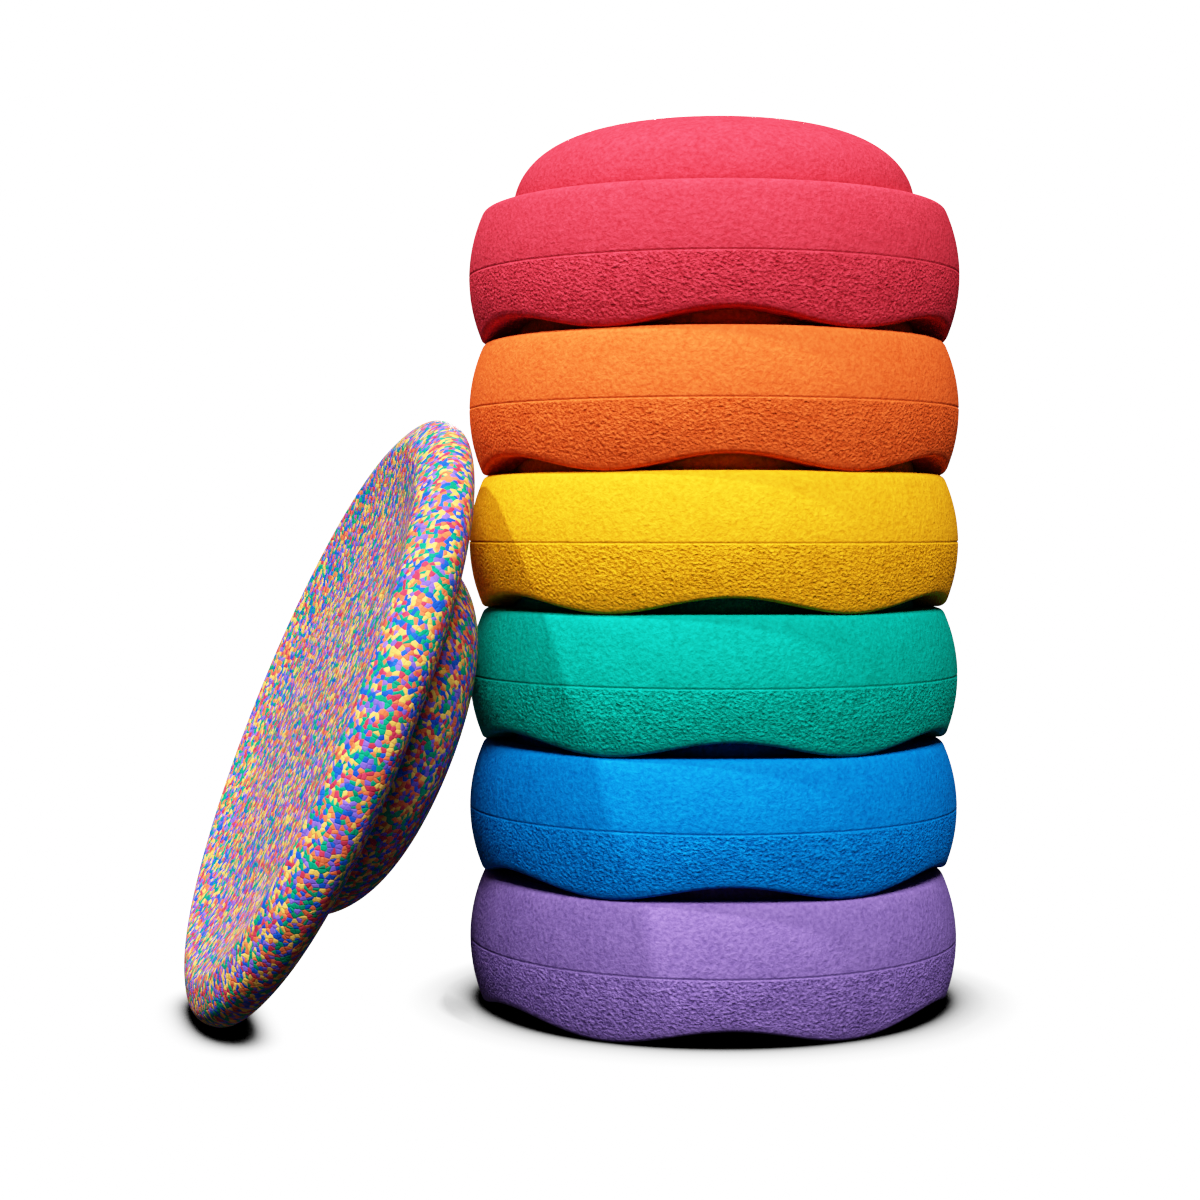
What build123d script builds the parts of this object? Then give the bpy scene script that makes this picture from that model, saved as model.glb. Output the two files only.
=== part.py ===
from build123d import *
import math
import os

# A balance set of moulded bead foam: six equal stepping stones nested in a stack, and a round
# balance board that leans on the stack. Millimetres, +Z up, floor at Z = 0. The origin is the
# centre of the set's footprint. The board leans along X, and tips over an axis along Y.

# --- Stacking stone (heights are from the tips of its feet) ---
STONE_DIAMETER = 275.0
STONE_HEIGHT = 120.0
STONE_PITCH = 74.0                 # from one stone to the next in the stack
REST_GAP = 0.3                     # kept between foam faces that rest on each other
BARREL_BULGE_RADIUS = 87.0         # the barrel's outline is one arc
PARTING_HEIGHT = 37.0              # mould line between the smooth and the coarse half
PARTING_GROOVE_WIDTH = 1.2
PARTING_GROOVE_DEPTH = 0.6
SHOULDER_ROUND = 5.0
DOME_RADIUS = 112.7
DOME_FULLNESS = (3.5, 2.07)        # superellipse powers, across and up
DOME_FOOT_ROUND = 1.5
HOLLOW_RADIUS = 114.0              # mouth of the underside, which takes the next dome
HOLLOW_HEIGHT = 98.0
HOLLOW_FULLNESS = (2.6, 2.4)
WAVE_COUNT = 6                     # feet round the lower edge
WAVE_HEIGHT = 8.8
WAVE_CREST_ANGLE = 15.7            # degrees from +X to the middle of an arch
OUTER_LIP_ROUND = 3.4
INNER_LIP_ROUND = 1.4

# --- Balance board (heights are from the middle of its rim) ---
BOARD_DIAMETER = 350.0
RIM_THICKNESS = 29.4
RIM_ROUND_DEPTH = 14.8             # how far the rim's rounded edge reaches in
RIM_FULLNESS = 2.65
DISH_FLOOR_RADIUS = 96.0
DISH_SLOPE = 13.0                  # degrees, the straight run from the dish up to the rim
DISH_BEND_RADIUS = 170.0
CREST_RADIUS = 16.0
KEEL_RADIUS = 106.5                # the dome under the board
KEEL_HEIGHT = 49.4
KEEL_FULLNESS = (3.42, 2.1)
KEEL_FOOT_ROUND = 4.0

# --- How the set stands ---
STACK_CENTRE = (78.18, -15.1)
BOARD_CENTRE = (-140.95, 0.0)
BOARD_LEAN = 22.42                 # degrees from upright, towards the stack

STONE_NAMES = ("purple_stone", "blue_stone", "green_stone",
               "yellow_stone", "orange_stone", "red_stone")

CURVE_STEPS = 8                    # points along a quarter of a superellipse or of a wave
CUTTER_MARGIN = 15.0               # how far the arches' cutter passes the stone's wall


def superellipse(across, up, fullness, steps=CURVE_STEPS):
    """Points of a quarter superellipse, from (across, 0) to (0, up)."""
    wide, tall = fullness
    points = []
    for step in range(steps + 1):
        turn = math.pi / 2 * step / steps
        x = across * max(math.cos(turn), 0.0) ** (2 / wide)
        points.append((x, up * math.sin(turn) ** (2 / tall)))
    points[-1] = (0.0, up)
    return points


def crowned_curve(across, up, fullness, base):
    """A spline over a dome or a hollow: it starts upright at the base and ends level on the axis.

    up is negative for a dome that hangs down.
    """
    points = [(x, base + y) for x, y in superellipse(across, up, fullness)]
    return Spline(*points, tangents=[(0, math.copysign(1, up)), (-1, 0)])


def revolve_outline(edges):
    """Turn a closed outline in the XZ plane once round the Z axis."""
    face = make_face([Plane.XZ * edge for edge in edges])
    return revolve(face, Axis.Z)


def circles_at(body, height, radius):
    """The circular edges of this radius and height about the Z axis."""
    return [edge for edge in body.edges().filter_by(GeomType.CIRCLE)
            if abs(edge.arc_center.Z - height) < 0.01 and abs(edge.radius - radius) < 0.01]


# ------------------------------------------------------------------ stone

def barrel_radius(height):
    """The barrel's radius at a height: an arc whose widest place is just below the mould line."""
    widest = PARTING_HEIGHT - 1.0
    centre = STONE_DIAMETER / 2 - BARREL_BULGE_RADIUS
    return centre + math.sqrt(BARREL_BULGE_RADIUS ** 2 - (height - widest) ** 2)


def barrel_arc(low, high):
    """The stretch of the barrel's arc between two heights."""
    middle = (low + high) / 2
    return ThreePointArc(*[(barrel_radius(z), z) for z in (low, middle, high)])


def parting_groove():
    """The two short flanks of the V groove at the mould line."""
    low = PARTING_HEIGHT - PARTING_GROOVE_WIDTH / 2
    high = PARTING_HEIGHT + PARTING_GROOVE_WIDTH / 2
    root = (barrel_radius(PARTING_HEIGHT) - PARTING_GROOVE_DEPTH, PARTING_HEIGHT)
    return [Line((barrel_radius(low), low), root), Line(root, (barrel_radius(high), high))]


def stone_body():
    """The stone before its lower edge is cut into waves: barrel, shoulder, dome and hollow."""
    shoulder = STONE_PITCH - REST_GAP
    groove_low = PARTING_HEIGHT - PARTING_GROOVE_WIDTH / 2
    groove_high = PARTING_HEIGHT + PARTING_GROOVE_WIDTH / 2
    outline = [
        Line((HOLLOW_RADIUS, 0), (barrel_radius(0), 0)),
        barrel_arc(0, groove_low),
        *parting_groove(),
        barrel_arc(groove_high, shoulder),
        Line((barrel_radius(shoulder), shoulder), (DOME_RADIUS, shoulder)),
        crowned_curve(DOME_RADIUS, STONE_HEIGHT - shoulder, DOME_FULLNESS, shoulder),
        Line((0, STONE_HEIGHT), (0, HOLLOW_HEIGHT)),
        crowned_curve(HOLLOW_RADIUS, HOLLOW_HEIGHT, HOLLOW_FULLNESS, 0),
    ]
    body = revolve_outline(outline)
    body = fillet(circles_at(body, shoulder, barrel_radius(shoulder)), SHOULDER_ROUND)
    return fillet(circles_at(body, shoulder, DOME_RADIUS), DOME_FOOT_ROUND)


def wave_height(angle):
    """How far the lower edge is lifted off the floor at an angle in degrees."""
    phase = math.radians(WAVE_COUNT * (angle - WAVE_CREST_ANGLE))
    return WAVE_HEIGHT / 2 * (1 + math.cos(phase))


def wave_curve(radius):
    """The closed wave line on a cylinder of this radius, through the arches and the feet."""
    steps = WAVE_COUNT * CURVE_STEPS
    points = []
    for step in range(steps):
        angle = WAVE_CREST_ANGLE + 360 * step / steps
        x = radius * math.cos(math.radians(angle))
        y = radius * math.sin(math.radians(angle))
        points.append((x, y, wave_height(angle)))
    return Edge.make_spline([Vector(*p) for p in points], periodic=True)


def wave_cutter():
    """What the arches take away: a ring whose top is ruled between an inner and an outer wave."""
    inner_radius = HOLLOW_RADIUS - CUTTER_MARGIN
    outer_radius = STONE_DIAMETER / 2 + CUTTER_MARGIN
    inner_wave, outer_wave = wave_curve(inner_radius), wave_curve(outer_radius)
    base = Plane.XY.offset(-CUTTER_MARGIN)
    turn = Rotation(0, 0, WAVE_CREST_ANGLE)
    inner_base = turn * Edge.make_circle(inner_radius, base)
    outer_base = turn * Edge.make_circle(outer_radius, base)
    faces = [
        Face.make_surface_from_curves(inner_wave, outer_wave),
        Face.make_surface_from_curves(inner_base, inner_wave),
        Face.make_surface_from_curves(outer_base, outer_wave),
        Face(Wire([outer_base]), [Wire([inner_base])]),
    ]
    return Solid(Shell(faces))


def wave_edges(body, radius):
    """The wavy edges along the foot of the wall whose radius is about this."""
    low = [edge for edge in body.edges() if edge.bounding_box().max.Z < WAVE_HEIGHT + 1]
    return [edge for edge in low if abs(edge.bounding_box().max.X - radius) < OUTER_LIP_ROUND / 2]


def stone():
    """One stone, standing on its feet."""
    body = stone_body() - wave_cutter()
    body = fillet(wave_edges(body, barrel_radius(WAVE_HEIGHT)), OUTER_LIP_ROUND)
    return fillet(wave_edges(body, HOLLOW_RADIUS), INNER_LIP_ROUND)


# ------------------------------------------------------------------ board

def rim_curve():
    """The rim's rounded edge, from its upper corner round to its lower corner."""
    half = RIM_THICKNESS / 2
    edge = BOARD_DIAMETER / 2
    points = []
    for step in range(-CURVE_STEPS, CURVE_STEPS + 1):
        share = -math.sin(math.pi / 2 * step / CURVE_STEPS)
        points.append((edge - RIM_ROUND_DEPTH * abs(share) ** RIM_FULLNESS, half * share))
    return Spline(*points)


def rim_corner_slope():
    """The angle, in degrees, at which the rounded edge reaches its two corners."""
    return math.degrees(math.atan2(RIM_THICKNESS / 2, RIM_ROUND_DEPTH * RIM_FULLNESS))


def crest_outline():
    """From the rim's upper corner over the crest and down the slope and bend to the dish's floor."""
    rise, fall = math.radians(rim_corner_slope()), math.radians(DISH_SLOPE)
    corner = Vector(BOARD_DIAMETER / 2 - RIM_ROUND_DEPTH, RIM_THICKNESS / 2)
    centre = corner - Vector(math.sin(rise), math.cos(rise)) * CREST_RADIUS
    top = centre + Vector(0, CREST_RADIUS)
    slope_start = centre + Vector(-math.sin(fall), math.cos(fall)) * CREST_RADIUS
    bend_end = DISH_FLOOR_RADIUS + DISH_BEND_RADIUS * math.sin(fall)
    run = slope_start.X - bend_end
    slope_end = Vector(bend_end, slope_start.Y - run * math.tan(fall))
    floor = slope_end.Y - DISH_BEND_RADIUS * (1 - math.cos(fall))
    half = math.radians(DISH_SLOPE / 2)
    bend_middle = (DISH_FLOOR_RADIUS + DISH_BEND_RADIUS * math.sin(half),
                   floor + DISH_BEND_RADIUS * (1 - math.cos(half)))
    return [
        ThreePointArc(corner, top, slope_start),
        Line(slope_start, slope_end),
        ThreePointArc(slope_end, bend_middle, (DISH_FLOOR_RADIUS, floor)),
        Line((DISH_FLOOR_RADIUS, floor), (0, floor)),
    ]


def underside_outline():
    """From the rim's lower corner to its flat underside, and in to the foot of the dome."""
    rise = math.radians(rim_corner_slope())
    corner = Vector(BOARD_DIAMETER / 2 - RIM_ROUND_DEPTH, -RIM_THICKNESS / 2)
    centre = corner + Vector(-math.sin(rise), math.cos(rise)) * CREST_RADIUS
    low = centre - Vector(0, CREST_RADIUS)
    middle = centre + Vector(math.sin(rise / 2), -math.cos(rise / 2)) * CREST_RADIUS
    return [ThreePointArc(corner, middle, low), Line(low, (KEEL_RADIUS, low.Y))], low.Y


def board():
    """The balance board lying dish up, with the middle of its rim at Z = 0."""
    crest = crest_outline()
    under, underside = underside_outline()
    floor = crest[-1] @ 1
    keel = crowned_curve(KEEL_RADIUS, -KEEL_HEIGHT, KEEL_FULLNESS, underside)
    outline = [
        *crest,
        rim_curve(),
        *under,
        keel,
        Line(keel @ 1, floor),
    ]
    body = revolve_outline(outline)
    return fillet(circles_at(body, underside, KEEL_RADIUS), KEEL_FOOT_ROUND)


def rim_reach(lean):
    """How far the rim's rounded edge reaches below the board's centre at this lean, in degrees."""
    half = RIM_THICKNESS / 2
    turn = math.radians(lean)
    reach = 0.0
    for step in range(2001):
        share = step / 1000 - 1
        radius = BOARD_DIAMETER / 2 - RIM_ROUND_DEPTH * abs(share) ** RIM_FULLNESS
        reach = max(reach, radius * math.cos(turn) + half * share * math.sin(turn))
    return reach


def leaning_board():
    """The board standing on its rim, its dome towards the stack."""
    height = rim_reach(BOARD_LEAN)
    place = Pos(*BOARD_CENTRE, height) * Rotation(0, BOARD_LEAN - 90, 0)
    return place * board()


# ------------------------------------------------------------------ set

def build_set():
    """Every piece in its place, by name."""
    pieces = {}
    one_stone = stone()
    for level, name in enumerate(STONE_NAMES):
        pieces[name] = Pos(*STACK_CENTRE, level * STONE_PITCH) * one_stone
    pieces["balance_board"] = leaning_board()
    return pieces


os.makedirs("parts", exist_ok=True)
for name, piece in build_set().items():
    piece.label = name
    export_step(piece, f"parts/{name}.step")
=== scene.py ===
import math

import bpy
import numpy as np
from mathutils import Matrix, Vector


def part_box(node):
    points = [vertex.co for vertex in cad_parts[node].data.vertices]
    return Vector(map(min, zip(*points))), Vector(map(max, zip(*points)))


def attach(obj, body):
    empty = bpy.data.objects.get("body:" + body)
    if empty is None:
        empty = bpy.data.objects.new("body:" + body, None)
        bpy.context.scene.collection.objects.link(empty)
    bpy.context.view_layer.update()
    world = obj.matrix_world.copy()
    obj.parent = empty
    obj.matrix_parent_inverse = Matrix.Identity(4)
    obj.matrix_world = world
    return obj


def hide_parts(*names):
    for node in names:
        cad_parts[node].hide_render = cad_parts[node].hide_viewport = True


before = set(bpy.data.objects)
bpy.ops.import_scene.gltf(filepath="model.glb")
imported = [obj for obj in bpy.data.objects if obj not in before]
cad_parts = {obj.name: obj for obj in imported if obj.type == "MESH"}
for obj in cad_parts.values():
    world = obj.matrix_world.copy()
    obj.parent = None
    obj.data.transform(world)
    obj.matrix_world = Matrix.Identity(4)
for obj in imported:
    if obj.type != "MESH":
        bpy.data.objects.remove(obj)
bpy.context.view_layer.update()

# A stack of six moulded foam stepping stones with a round foam balance board leaning on it.
# Shapes are worked out in millimetres about each piece's own axis, and placed in metres.

MM = 0.001
TURN = 2 * math.pi

# --- Stepping stone (heights are from the tips of its feet) ---
BULGE = 87.0                       # radius of the barrel's outline
BULGE_CENTRE = (50.5, 36.0)        # radius and height of that arc's centre
PARTING = 37.0
GROOVE_HALF, GROOVE_DEPTH = 0.6, 0.6
SHOULDER, SHOULDER_ROUND = 73.95, 5.0
DOME_RADIUS, DOME_RISE, DOME_FULLNESS = 112.7, 46.05, (3.5, 2.07)
DOME_FOOT_ROUND = 1.5
HOLLOW_RADIUS, HOLLOW_HEIGHT, HOLLOW_FULLNESS = 112.95, 98.0, (2.6, 2.4)
WAVE_COUNT, WAVE_HEIGHT, WAVE_CREST = 6, 8.8, 15.7
OUTER_LIP, INNER_LIP = 3.4, 1.4

# --- Balance board (heights are from the middle of its rim) ---
BOARD_RADIUS, RIM_HALF, RIM_DEPTH, RIM_FULLNESS = 175.0, 14.7, 14.8, 2.65
DISH_FLOOR_RADIUS, DISH_SLOPE, DISH_BEND = 96.0, 13.0, 170.0
CREST_ROUND = 16.0
KEEL_RADIUS, KEEL_DROP, KEEL_FULLNESS, KEEL_FOOT_ROUND = 106.5, 49.4, (3.42, 2.1), 4.0
BOARD_LEAN = 22.42                 # degrees from upright
ON_AXIS = 1e-6                     # a smaller radius is the axis itself
UNDERSIDE_SHIFT = 1000.0           # keeps the beads below from copying the beads above

# --- Mesh density ---
FINE, MEDIUM, SPARSE = 1080, 360, 120      # points in a ring
SPARSE_WITHIN = 45.0               # radius inside which rings are sparse
RELIEF_DEPTH = 0.20                # of the coarse lower half, in millimetres
RELIEF_WAVELENGTH, RELIEF_RADIUS = 2.6, 137.0


# ------------------------------------------------------------------ rings and skins

def linear(red, green, blue):
    """A colour in linear light from its usual screen values, 0 to 255."""
    shares = [value / 255 for value in (red, green, blue)]
    return tuple(s / 12.92 if s <= 0.04045 else ((s + 0.055) / 1.055) ** 2.4 for s in shares)


def ring(radius, height, columns, **marks):
    """Points round the axis; radius and height are numbers, or have one value per point."""
    angle = TURN * np.arange(columns) / columns
    points = np.empty((columns, 3))
    points[:, 0] = radius * np.cos(angle)
    points[:, 1] = radius * np.sin(angle)
    points[:, 2] = height
    return points, marks


def pole(height, **marks):
    """The single point that closes a skin on its axis."""
    return np.array([[0.0, 0.0, height]]), marks


def band(upper, upper_count, lower, lower_count):
    """The faces between two rings, given the number of each ring's first point."""
    if upper_count == lower_count:
        i = np.arange(upper_count)
        j = (i + 1) % upper_count
        return np.stack([upper + i, lower + i, lower + j, upper + j], 1).tolist()
    if upper_count < lower_count:
        return [face[::-1] for face in band(lower, lower_count, upper, upper_count)]
    if lower_count == 1:
        i = np.arange(upper_count)
        j = (i + 1) % upper_count
        return np.stack([upper + i, np.full(upper_count, lower), upper + j], 1).tolist()
    faces = []
    for i in range(lower_count):
        a, b = lower + i, lower + (i + 1) % lower_count
        f = [upper + (3 * i + k) % upper_count for k in range(4)]
        faces += [[f[0], a, f[1]], [f[1], a, b, f[2]], [f[2], b, f[3]]]
    return faces


def skin(rings):
    """One closed skin over rings from the top pole to the bottom pole: points, faces, marks."""
    faces, start = [], 0
    for (above, _), (below, _) in zip(rings, rings[1:]):
        faces += band(start, len(above), start + len(above), len(below))
        start += len(above)
    points = np.concatenate([p for p, _ in rings])
    marks = {}
    for key in {key for _, found in rings for key in found}:
        marks[key] = np.concatenate([np.broadcast_to(found.get(key, 0.0), len(p))
                                     for p, found in rings])
    return points, faces, marks


def make_piece(name, points, faces, marks, material):
    """A smooth shaded mesh object from points in metres, with its marks as point attributes."""
    mesh = bpy.data.meshes.new(name)
    mesh.from_pydata(points.tolist(), [], faces)
    for key, values in marks.items():
        if values.ndim == 1:
            mesh.attributes.new(key, "FLOAT", "POINT").data.foreach_set("value", values)
        else:
            mesh.attributes.new(key, "FLOAT_VECTOR", "POINT").data.foreach_set(
                "vector", values.ravel())
    mesh.shade_smooth()
    mesh.materials.append(material)
    piece = bpy.data.objects.new(name, mesh)
    bpy.context.scene.collection.objects.link(piece)
    return piece


def superellipse(across, up, fullness, turn):
    """Radius and height on a quarter superellipse, at a turn from 0 (base) to a right angle."""
    wide, tall = fullness
    radius = across * np.maximum(np.cos(turn), 0.0) ** (2 / wide)
    return radius, up * np.sin(turn) ** (2 / tall)


def columns_at(radius):
    """Fewer points in the rings near the axis."""
    return MEDIUM if radius > SPARSE_WITHIN else SPARSE


def crinkle(rows, columns, step_along, step_round, wavelength, seed):
    """A random field of one main wavelength, periodic round the ring, from 0 to 1."""
    noise = np.random.default_rng(seed).standard_normal((rows, columns))
    along = np.fft.fftfreq(rows, step_along)[:, None]
    round_ = np.fft.fftfreq(columns, step_round)[None, :]
    pitch = np.hypot(along, round_) * wavelength
    field = np.fft.ifft2(np.fft.fft2(noise) * np.exp(-((pitch - 1) / 0.45) ** 2)).real
    field = np.clip(field / field.std() / 2, -1, 1)
    return (1 + np.sin(field * math.pi / 2)) / 2


# ------------------------------------------------------------------ stepping stone

def barrel_point(angle):
    """Radius and height on the barrel's arc, at an angle above the level of its widest place."""
    return (BULGE_CENTRE[0] + BULGE * np.cos(angle), BULGE_CENTRE[1] + BULGE * np.sin(angle))


def barrel_angle(height):
    """The angle on the barrel's arc at a height."""
    return np.arcsin((height - BULGE_CENTRE[1]) / BULGE)


def wave_at(columns):
    """How far the lower edge is lifted off the floor, at each point of a ring."""
    degrees = 360 * np.arange(columns) / columns
    return WAVE_HEIGHT / 2 * (1 + np.cos(np.radians(WAVE_COUNT * (degrees - WAVE_CREST))))


def lip_centre(wave):
    """Centre of the outer lip's rounding, and where on the barrel's arc it begins."""
    height = wave + OUTER_LIP
    drop = height - BULGE_CENTRE[1]
    out = np.sqrt((BULGE - OUTER_LIP) ** 2 - drop ** 2)
    return BULGE_CENTRE[0] + out, height, np.arctan2(drop, out)


def dome_rings():
    """From the top of the dome down to its foot, where it meets the shoulder."""
    rings = [pole(SHOULDER + DOME_RISE)]
    foot = math.asin((DOME_FOOT_ROUND / DOME_RISE) ** (DOME_FULLNESS[1] / 2))
    # crease marks painted shade: it darkens the dome's lowest 4 mm and its rounded foot.
    for turn in np.linspace(math.pi / 2, foot, 56)[1:]:
        radius, rise = superellipse(DOME_RADIUS, DOME_RISE, DOME_FULLNESS, turn)
        near_foot = max(0.0, 1 - rise / 4)
        rings.append(ring(radius, SHOULDER + rise, columns_at(radius), crease=near_foot))
    for turn in np.linspace(0, math.pi / 2, 4)[1:]:
        rings.append(ring(DOME_RADIUS + DOME_FOOT_ROUND * (1 - math.cos(turn)),
                          SHOULDER + DOME_FOOT_ROUND * (1 - math.sin(turn)), MEDIUM, crease=0.8))
    return rings


def shoulder_rings():
    """The flat shoulder, its rounded edge, and the smooth half of the barrel to the groove."""
    drop = SHOULDER - SHOULDER_ROUND - BULGE_CENTRE[1]
    out = math.sqrt((BULGE - SHOULDER_ROUND) ** 2 - drop ** 2)
    edge, tangent = BULGE_CENTRE[0] + out, math.atan2(drop, out)
    inner = DOME_RADIUS + DOME_FOOT_ROUND
    # The polish mark paints a highlight over the shoulder's outer part, its rounded edge and the
    # top of the barrel, which is also made smoother.
    rings = [ring(inner + (edge - inner) * share, SHOULDER, MEDIUM, polish=share)
             for share in (0.15, 0.4, 0.7, 1.0)]
    for turn in np.linspace(math.pi / 2, tangent, 8)[1:]:
        rings.append(ring(edge + SHOULDER_ROUND * math.cos(turn),
                          SHOULDER - SHOULDER_ROUND + SHOULDER_ROUND * math.sin(turn), MEDIUM,
                          polish=1.0))
    groove = barrel_angle(PARTING + GROOVE_HALF)
    for share in (0.04, 0.1, 0.2, 0.3, 0.4, 0.5, 0.6, 0.7, 0.8, 0.88, 0.94, 0.98, 0.995, 1.0):
        radius, height = barrel_point(tangent + (groove - tangent) * share)
        rings.append(ring(radius, height, MEDIUM, polish=max(0.0, 1 - share / 0.2)))
    # The groove's root carries the crease mark for painted shade.
    radius, height = barrel_point(barrel_angle(PARTING))
    rings.append(ring(radius - GROOVE_DEPTH, height, MEDIUM, crease=1.0, coarse=0.5))
    return rings


def coarse_rings(rows=42):
    """The coarse half of the barrel, from the groove down to where the lip begins."""
    top = barrel_angle(PARTING - GROOVE_HALF)
    tangent = lip_centre(wave_at(FINE))[2]
    step = BULGE * (top - tangent.mean()) / rows
    field = crinkle(rows + 1, FINE, step, TURN * RELIEF_RADIUS / FINE, RELIEF_WAVELENGTH, seed=7)
    rings = []
    for row, share in enumerate(np.linspace(0, 1, rows + 1)):
        angle = top + (tangent - top) * share
        fade = min(1.0, row / 2.0) * min(1.0, (rows - row) / 5.0)
        sink = RELIEF_DEPTH * fade * (1 - field[row])
        radius, height = barrel_point(angle)
        # relief is low in the mesh's pits; the material paints these darker as painted shade.
        points = ring(radius - sink * np.cos(angle), height - sink * np.sin(angle), FINE,
                      coarse=min(1.0, row / 1.5) * min(1.0, (rows - row) / 4.0),
                      relief=1 - fade * (1 - field[row]))
        rings.append(points)
    return rings


def lip_rings():
    """The rounded outer lip, the wavy foot and the rounded inner lip."""
    wave = wave_at(MEDIUM)
    centre, height, tangent = lip_centre(wave)
    rings = []
    for share in np.linspace(0, 1, 8)[1:]:
        angle = tangent + (-math.pi / 2 - tangent) * share
        rings.append(ring(centre + OUTER_LIP * np.cos(angle), height + OUTER_LIP * np.sin(angle),
                          MEDIUM))
    wall = hollow_point(hollow_turn(wave + INNER_LIP))[0]
    for share in (0.3, 0.7, 1.0):
        rings.append(ring(centre + (wall + INNER_LIP - centre) * share, wave, MEDIUM))
    for turn in np.linspace(0, math.pi / 2, 6)[1:]:
        rings.append(ring(wall + INNER_LIP * (1 - math.sin(turn)),
                          wave + INNER_LIP * (1 - math.cos(turn)), MEDIUM))
    return rings


def hollow_point(turn):
    """Radius and height on the hollow's wall."""
    return superellipse(HOLLOW_RADIUS, HOLLOW_HEIGHT, HOLLOW_FULLNESS, turn)


def hollow_turn(height):
    """Where on the hollow's wall a height is reached."""
    return np.arcsin((height / HOLLOW_HEIGHT) ** (HOLLOW_FULLNESS[1] / 2))


def hollow_rings(rows=52):
    """The inside of the hollow, from the inner lip up to its top on the axis."""
    rings = []
    for share in np.linspace(0, 1, rows + 1)[1:-1]:
        mean = hollow_point(hollow_turn(WAVE_HEIGHT) * (1 - share) + math.pi / 2 * share)[0]
        columns = columns_at(mean)
        start = hollow_turn(wave_at(columns) + INNER_LIP)
        radius, height = hollow_point(start * (1 - share) + math.pi / 2 * share)
        rings.append(ring(radius, height, columns))
    return rings + [pole(HOLLOW_HEIGHT)]


def stone_skin():
    """One stone about its axis, in millimetres from its feet."""
    return skin(dome_rings() + shoulder_rings() + coarse_rings() + lip_rings() + hollow_rings())


def place_stone(name, shape, quarter, material):
    """A stone where its CAD node is, turned by whole waves so that no two look the same."""
    points, faces, marks = shape
    low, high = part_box(name)
    angle = quarter * TURN / WAVE_COUNT
    turned = points @ np.array(Matrix.Rotation(angle, 3, "Z")).T * MM
    axis = np.array([(low.x + high.x) / 2, (low.y + high.y) / 2, low.z])
    piece = make_piece(name + "_foam", turned + axis, faces, marks, material)
    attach(piece, name)
    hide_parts(name)
    return piece


# ------------------------------------------------------------------ balance board

def arc(centre, radius, start, end, steps):
    """Points on an arc in the (radius, height) plane, angles in degrees, without its first."""
    return [(centre[0] + radius * math.cos(math.radians(a)),
             centre[1] + radius * math.sin(math.radians(a)))
            for a in np.linspace(start, end, steps + 1)[1:]]


def board_outline():
    """Radius and height from the middle of the dish out over the rim to the underside's dome."""
    rise = math.degrees(math.atan2(RIM_HALF, RIM_DEPTH * RIM_FULLNESS))
    corner = BOARD_RADIUS - RIM_DEPTH
    sine, cosine = math.sin(math.radians(rise)), math.cos(math.radians(rise))
    crest = (corner - CREST_ROUND * sine, RIM_HALF - CREST_ROUND * cosine)
    slope = math.radians(DISH_SLOPE)
    slope_top = (crest[0] - CREST_ROUND * math.sin(slope), crest[1] + CREST_ROUND * math.cos(slope))
    bend_end = DISH_FLOOR_RADIUS + DISH_BEND * math.sin(slope)
    slope_foot = slope_top[1] - (slope_top[0] - bend_end) * math.tan(slope)
    floor = slope_foot - DISH_BEND * (1 - math.cos(slope))
    outline = [(r, floor) for r in np.linspace(0, DISH_FLOOR_RADIUS, 49)]
    outline += arc((DISH_FLOOR_RADIUS, floor + DISH_BEND), DISH_BEND, -90, -90 + DISH_SLOPE, 18)
    outline += [(bend_end + (slope_top[0] - bend_end) * s,
                 slope_foot + (slope_top[1] - slope_foot) * s) for s in np.linspace(0, 1, 9)[1:]]
    outline += arc(crest, CREST_ROUND, 90 + DISH_SLOPE, 90 - rise, 6)
    for turn in np.linspace(90, -90, 45)[1:-1]:
        share = math.sin(math.radians(turn))
        outline.append((BOARD_RADIUS - RIM_DEPTH * abs(share) ** RIM_FULLNESS, RIM_HALF * share))
    under = (crest[0], -crest[1])
    outline.append((corner, -RIM_HALF))
    outline += arc(under, CREST_ROUND, rise - 90, -90, 4)
    flat = under[1] - CREST_ROUND
    foot = KEEL_RADIUS + KEEL_FOOT_ROUND
    outline += [(under[0] + (foot - under[0]) * s, flat) for s in np.linspace(0, 1, 21)[1:]]
    outline += arc((foot, flat - KEEL_FOOT_ROUND), KEEL_FOOT_ROUND, 90, 180, 5)
    start = math.asin((KEEL_FOOT_ROUND / KEEL_DROP) ** (KEEL_FULLNESS[1] / 2))
    for turn in np.linspace(start, math.pi / 2, 61)[1:]:
        radius, drop = superellipse(KEEL_RADIUS, KEEL_DROP, KEEL_FULLNESS, turn)
        outline.append((float(radius), flat - float(drop)))
    return outline


def bead_places(outline):
    """The outline's distance from the axis, as walked over the surface from above or below.

    The beads' pattern is laid out on these distances, so it isn't stretched over the rim.
    """
    walked = np.concatenate([[0.0], np.cumsum(np.hypot(*np.diff(np.array(outline), axis=0).T))])
    under = next(i for i, (r, w) in enumerate(outline) if w <= -RIM_HALF)
    back = walked[-1] - walked
    return np.where(np.arange(len(outline)) < under, walked, back), under


def board_skin():
    """The board about its axis, with the beads' places on its surface as marks."""
    outline = board_outline()
    reach, under = bead_places(outline)
    rings, places = [], []
    for index, (radius, height) in enumerate(outline):
        below = index >= under
        if radius < ON_AXIS:
            points = pole(height)
        else:
            points = ring(radius, height, columns_at(radius))
        rings.append(points)
        count = len(points[0])
        angle = TURN * np.arange(count) / count
        shift = UNDERSIDE_SHIFT if below else 0.0
        places.append(np.stack([reach[index] * np.cos(angle) + shift,
                                reach[index] * np.sin(angle), np.zeros(count)], 1))
    points, faces, marks = skin(rings)
    marks["bead_place"] = np.concatenate(places) * MM
    return points, faces, marks


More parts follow.
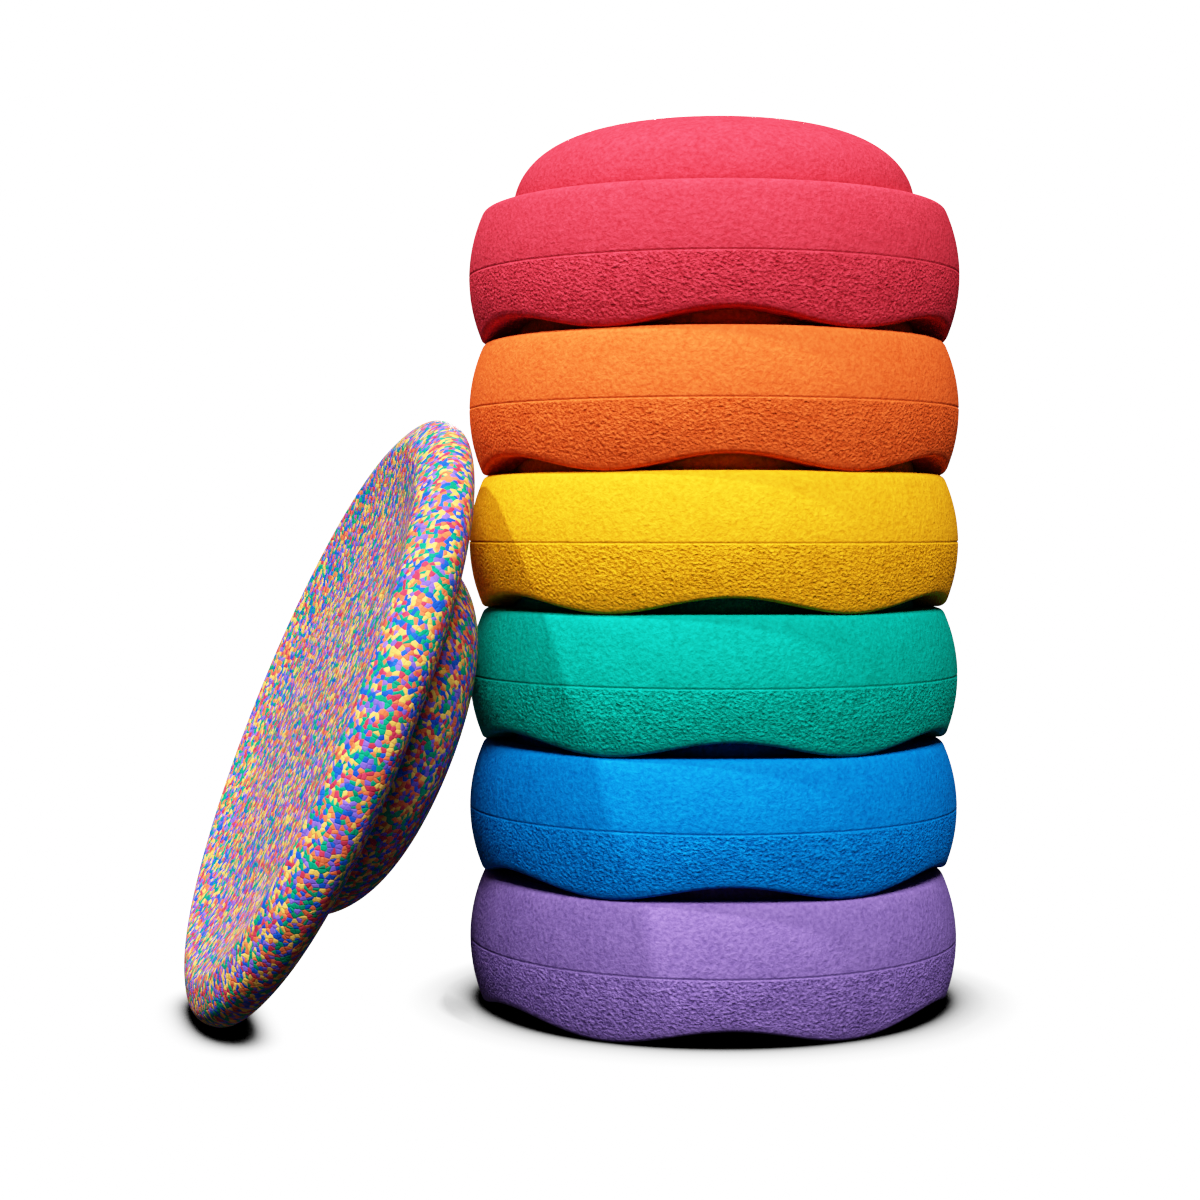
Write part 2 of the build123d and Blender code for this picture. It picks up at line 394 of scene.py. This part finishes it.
def place_board(name, material):
    """The board leaning where its CAD node leans."""
    points, faces, marks = board_skin()
    lean = Matrix.Rotation(math.radians(BOARD_LEAN - 90), 3, "Y")
    leaning = points @ np.array(lean).T * MM
    low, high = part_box(name)
    middle = (leaning.min(0) + leaning.max(0)) / 2
    leaning += np.array((low + high) / 2) - middle
    piece = make_piece(name + "_foam", leaning, faces, marks, material)
    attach(piece, name)
    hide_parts(name)
    return piece


# ------------------------------------------------------------------ materials

class Graph:
    """A new material's node graph, with a short way to add nodes and join them."""

    def __init__(self, name):
        self.material = bpy.data.materials.new(name)
        self.material.use_nodes = True
        self.tree = self.material.node_tree
        self.shader = self.tree.nodes["Principled BSDF"]

    def feed(self, socket, value):
        if isinstance(value, bpy.types.NodeSocket):
            self.tree.links.new(value, socket)
        else:
            socket.default_value = value

    def add(self, kind, inputs, output=0, **settings):
        made = self.tree.nodes.new("ShaderNode" + kind)
        for key, value in settings.items():
            setattr(made, key, value)
        for key, value in inputs.items():
            self.feed(made.inputs[key], value)
        return made.outputs[output]

    def mark(self, name, output="Fac"):
        return self.add("Attribute", {}, output, attribute_name=name)

    def math(self, operation, first, second=0.0):
        return self.add("Math", {0: first, 1: second}, operation=operation)

    def remap(self, value, low, high, to_low=0.0, to_high=1.0):
        return self.add("MapRange", {"Value": value, "From Min": low, "From Max": high,
                                     "To Min": to_low, "To Max": to_high})

    def noise(self, place, size_mm, detail=2.0, roughness=0.5, distortion=0.0):
        return self.add("TexNoise", {"Vector": place, "Scale": 1000 / size_mm, "Detail": detail,
                                     "Roughness": roughness, "Distortion": distortion})

    def mix(self, share, first, second, blend="MIX"):
        made = self.tree.nodes.new("ShaderNodeMix")
        made.data_type = "RGBA"
        made.blend_type = blend
        for index, value in ((0, share), (6, first), (7, second)):
            self.feed(made.inputs[index], value)
        return made.outputs[2]

    def blend(self, share, first, second):
        """A number between two others."""
        return self.add("Mix", {0: share, 2: first, 3: second}, data_type="FLOAT")

    def bump(self, height, depth_mm, strength, normal=None):
        inputs = {"Height": height, "Distance": depth_mm * MM, "Strength": strength}
        if normal is not None:
            inputs["Normal"] = normal
        return self.add("Bump", inputs)

    def finish(self, colour, roughness, normal, specular):
        self.feed(self.shader.inputs["Base Color"], colour)
        self.feed(self.shader.inputs["Roughness"], roughness)
        self.feed(self.shader.inputs["Normal"], normal)
        self.shader.inputs["Specular IOR Level"].default_value = specular
        return self.material


def shade(colour, factor, power=1.0):
    """A darker or lighter colour for a node's socket; a power over 1 makes it purer too."""
    levels = [c ** power * factor for c in colour]
    return tuple(level / max(1.0, *levels) for level in levels) + (1.0,)


def stone_foam(name, colour):
    """Moulded bead foam: a fine wavy grain above the mould line, a coarse crumble below, with
    painted light in its colour: painted shade in the creases and the crumble's pits, lighter ridges
    and a painted highlight on the shoulder.
    """
    g = Graph(name)
    place = g.add("TexCoord", {}, "Object")
    coarse, crease, polish, relief = (g.mark(key) for key in ("coarse", "crease", "polish",
                                                             "relief"))
    flat_place = g.add("Mapping", {"Vector": place, "Scale": (0.8, 0.8, 1.0)})
    wavy = g.noise(place, 2.3, 3.0, 0.6, 0.2)
    crumb = g.noise(flat_place, 1.45, 3.0, 0.6, 0.3)
    lump = g.noise(flat_place, 3.6, 1.0, 0.5, 0.5)
    cloud = g.noise(place, 14.0, 3.0, 0.6)
    grain = g.remap(wavy, 0.28, 0.72)
    crumble = g.math("ADD", crumb, g.math("MULTIPLY", lump, 0.30))
    # Below the mould line the tone follows the crumble's height and the mesh's relief: painted
    # shade in the pits and a painted highlight on the ridges. Above it the grain is the foam's
    # mottled tone.
    rough = g.remap(g.math("ADD", crumble, g.math("MULTIPLY", relief, 0.15)), 0.50, 0.95)
    tone = g.blend(coarse, g.remap(grain, 0.0, 1.0, 0.15, 0.85), rough)
    tone = g.math("ADD", tone, g.remap(cloud, 0.3, 0.7, -0.10, 0.10))
    # Painted highlight: the shoulder's edge band is lighter, and through the tone also less rough.
    tone = g.math("ADD", tone, g.math("MULTIPLY", polish, 0.12))
    # Below the mould line the dark colour is painted shade in the pits and the light colour a
    # painted highlight on the ridges; above it they are the mottle's tones.
    dark = g.mix(coarse, shade(colour, 0.74, 1.15), shade(colour, 0.68, 1.17))
    light = g.mix(coarse, shade(colour, 1.18, 0.97), shade(colour, 1.50, 1.0))
    tinted = g.mix(tone, dark, light)
    # Painted shade: the creases at the dome's foot and in the groove are darkened towards a deep
    # tone of the colour.
    tinted = g.mix(g.math("MULTIPLY", crease, 0.75), tinted, shade(colour, 0.2, 1.3))
    height = g.blend(coarse, g.math("MULTIPLY", grain, 0.42), rough)
    normal = g.bump(height, 0.95, 1.0)
    roughness = g.remap(tone, 0.0, 1.0, 0.78, 0.62)
    return g.finish(tinted, roughness, normal, 0.02)


BEAD_COLOURS = (                   # where each colour's share begins, and the colour
    (0.00, linear(235, 178, 83)),
    (0.17, linear(224, 103, 65)),
    (0.34, linear(183, 51, 75)),
    (0.47, linear(111, 88, 195)),
    (0.61, linear(25, 79, 188)),
    (0.77, linear(6, 136, 101)),
)
BEAD_SIZE = 2.5


def board_foam(name):
    """Moulded foam of mixed coloured beads, each a small flat polygon with a dark seam round it."""
    g = Graph(name)
    flat = g.mark("bead_place", "Vector")
    solid = g.add("TexCoord", {}, "Object")
    wobble = g.noise(solid, 5.0, 1.0)
    cell = {"Vector": flat, "Scale": 1000 / BEAD_SIZE, "Randomness": 1.0}
    bead = g.tree.nodes.new("ShaderNodeTexVoronoi")
    bead.voronoi_dimensions = "2D"
    for key, value in cell.items():
        g.feed(bead.inputs[key], value)
    seam = g.add("TexVoronoi", cell, "Distance", feature="DISTANCE_TO_EDGE",
                 voronoi_dimensions="2D")
    split = g.tree.nodes.new("ShaderNodeSeparateColor")
    g.feed(split.inputs[0], bead.outputs["Color"])
    ramp = g.tree.nodes.new("ShaderNodeValToRGB")
    ramp.color_ramp.interpolation = "CONSTANT"
    stops = ramp.color_ramp.elements
    while len(stops) < len(BEAD_COLOURS):
        stops.new(1.0)
    for stop, (position, colour) in zip(stops, BEAD_COLOURS):
        stop.position = position
        stop.color = (*colour, 1.0)
    g.feed(ramp.inputs[0], split.outputs[0])
    lighter = g.mix(g.remap(split.outputs[1], 0.0, 1.0, 0.0, 0.35), ramp.outputs[0],
                    (1.0, 1.0, 1.0, 1.0), "SOFT_LIGHT")
    darker = g.mix(g.remap(split.outputs[2], 0.0, 1.0, 0.35, 0.0), lighter,
                   (0.25, 0.22, 0.24, 1.0), "MULTIPLY")
    pore = g.noise(solid, 0.7, 2.0, 0.6)
    line = g.remap(seam, 0.01, 0.06, 1.0, 0.0)
    seamed = g.mix(g.math("MULTIPLY", line, 0.18), darker, (0.02, 0.015, 0.02, 1.0))
    pillow = g.remap(seam, 0.0, 0.22, 0.0, 1.0)
    height = g.math("ADD", pillow, g.math("MULTIPLY", pore, 0.25))
    height = g.math("ADD", height, g.math("MULTIPLY", wobble, 0.4))
    normal = g.bump(height, 0.22, 0.9)
    roughness = g.remap(split.outputs[1], 0.0, 1.0, 0.5, 0.68)
    return g.finish(seamed, roughness, normal, 0.05)


def floor_white(name):
    """A white floor as bright as the surroundings, darkened by a painted contact shadow only close
    to what stands on it.

    The painted shadow reaches further round the heavy stack than round the board's foot, and leans
    away from the front light.
    """
    g = Graph(name)
    g.tree.nodes.remove(g.shader)
    place = g.add("NewGeometry", {}, "Position")
    off = g.add("VectorMath", {0: place, 1: tuple(stack_axis())}, "Value", operation="DISTANCE")
    bearing = math.radians(CAMERA_BEARING)
    front = g.add("CombineXYZ", {0: -math.sin(bearing) * CONTACT_LEAN,
                                 1: -math.cos(bearing) * CONTACT_LEAN, 2: 1.0})
    reach = g.remap(off, *CONTACT_FADE, *CONTACT_REACH)
    open_share = g.add("AmbientOcclusion", {"Distance": reach, "Normal": front}, "AO",
                       samples=CONTACT_SAMPLES)
    # The floor glows evenly as bright as the surroundings, with painted contact shadow where the
    # open share is small.
    glow = g.add("Emission", {"Color": WHITE,
                              "Strength": g.remap(open_share, *CONTACT_RANGE, 0.0, BRIGHT)})
    g.tree.links.new(glow, g.tree.nodes["Material Output"].inputs["Surface"])
    return g.material


# ------------------------------------------------------------------ scene

STONE_COLOURS = {                  # red, green and blue in linear light
    "purple_stone": (0.171, 0.106, 0.316),
    "blue_stone": (0.001, 0.153, 0.479),
    "green_stone": (0.001, 0.284, 0.223),
    "yellow_stone": (0.822, 0.356, 0.0113),
    "orange_stone": (0.807, 0.123, 0.0271),
    "red_stone": (0.571, 0.0402, 0.0641),
}
CAMERA_DISTANCE, CAMERA_HEIGHT, CAMERA_BEARING = 1.2605, 0.2659, 18.81
AIM_BEARING, AIM_DROP = 15.91, 1.83
LENS, SENSOR = 66.63, 36.0
SUNS = {                           # bearing and height in degrees, strength, spread in degrees
    "key": (264, 63, 5.9, 2.5),
    "front": (190, 46, 8.7, 22),
    "back": (19, 12, 4.5, 12),
}
AMBIENT = 0.09                     # what the surroundings light the pieces with
WHITE = (1.0, 1.0, 1.0, 1.0)
BRIGHT = 3.0                       # the surroundings' level, which the film shows as pure white
FILM_SPEED, FILM_TOE = 1.1, 1.2     # how fast the film nears its white, how deep its shadows are
# The floor's painted contact shadow: its reach near the stack and near the board's foot, the
# distances over which one gives way to the other, the open share mapped from black to white, its
# lean and its samples.
CONTACT_REACH, CONTACT_FADE = (0.09, 0.024), (0.152, 0.19)
CONTACT_RANGE, CONTACT_LEAN, CONTACT_SAMPLES = (0.50, 0.95), 0.2, 48


def stack_axis():
    low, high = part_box("purple_stone")
    return Vector(((low.x + high.x) / 2, (low.y + high.y) / 2, 0.0))


def add_camera():
    """The camera of the photograph, placed round the stack's axis."""
    bearing = math.radians(CAMERA_BEARING)
    data = bpy.data.cameras.new("camera")
    data.lens, data.sensor_width = LENS, SENSOR
    camera = bpy.data.objects.new("camera", data)
    camera.location = stack_axis() + Vector((-math.sin(bearing) * CAMERA_DISTANCE,
                                             -math.cos(bearing) * CAMERA_DISTANCE, CAMERA_HEIGHT))
    camera.rotation_euler = (math.radians(90 - AIM_DROP), 0, -math.radians(AIM_BEARING))
    bpy.context.scene.collection.objects.link(camera)
    bpy.context.scene.camera = camera


def add_sun(name, bearing, height, strength, spread):
    """A distant lamp: bearing in degrees from +Y towards +X, height above the floor in degrees."""
    data = bpy.data.lights.new(name, "SUN")
    data.energy, data.angle = strength, math.radians(spread)
    lamp = bpy.data.objects.new(name, data)
    a, e = math.radians(bearing), math.radians(height)
    towards = Vector((math.sin(a) * math.cos(e), math.cos(a) * math.cos(e), math.sin(e)))
    lamp.rotation_mode = "QUATERNION"
    lamp.rotation_quaternion = towards.to_track_quat("Z", "Y")
    lamp.location = towards * 3
    bpy.context.scene.collection.objects.link(lamp)


def add_film():
    """A film's response: deeper shadows, and highlights that ease into white."""
    view = bpy.context.scene.view_settings
    view.view_transform = "Standard"
    view.use_curve_mapping = True
    mapping = view.curve_mapping
    mapping.clip_max_x = BRIGHT
    points = mapping.curves[3].points
    points[0].location = (0.0, 0.0)
    points[1].location = (BRIGHT, 1.0)
    for level in (0.02, 0.05, 0.1, 0.2, 0.35, 0.5, 0.7, 0.9, 1.2, 1.6, 2.0, 2.5):
        shown = 1 - math.exp(-FILM_SPEED * level ** FILM_TOE)
        points.new(level, shown / (1 - math.exp(-FILM_SPEED * BRIGHT ** FILM_TOE)))
    mapping.update()


def add_studio():
    """White surroundings and floor, a small high key, a soft front light and a back light."""
    world = bpy.data.worlds.new("studio")
    world.use_nodes = True
    background = world.node_tree.nodes["Background"]
    background.inputs["Color"].default_value = WHITE
    seen = world.node_tree.nodes.new("ShaderNodeLightPath").outputs["Is Camera Ray"]
    level = world.node_tree.nodes.new("ShaderNodeMapRange")
    level.inputs["To Min"].default_value, level.inputs["To Max"].default_value = AMBIENT, BRIGHT
    world.node_tree.links.new(seen, level.inputs["Value"])
    world.node_tree.links.new(level.outputs[0], background.inputs["Strength"])
    bpy.context.scene.world = world
    half = 8.0
    floor = make_piece("floor", np.array([(-half, -half, 0), (half, -half, 0), (half, half, 0),
                                          (-half, half, 0)]), [(0, 1, 2, 3)], {},
                       floor_white("floor_white"))
    floor.visible_diffuse = floor.visible_glossy = False
    for name, (bearing, height, strength, spread) in SUNS.items():
        add_sun(name, bearing, height, strength, spread)


def build():
    add_camera()
    shape = stone_skin()
    for index, (name, colour) in enumerate(STONE_COLOURS.items()):
        quarter = (index * 2 + index // 3) % WAVE_COUNT
        place_stone(name, shape, quarter, stone_foam(name + "_foam", colour))
    place_board("balance_board", board_foam("balance_board_foam"))
    add_studio()
    add_film()


build()
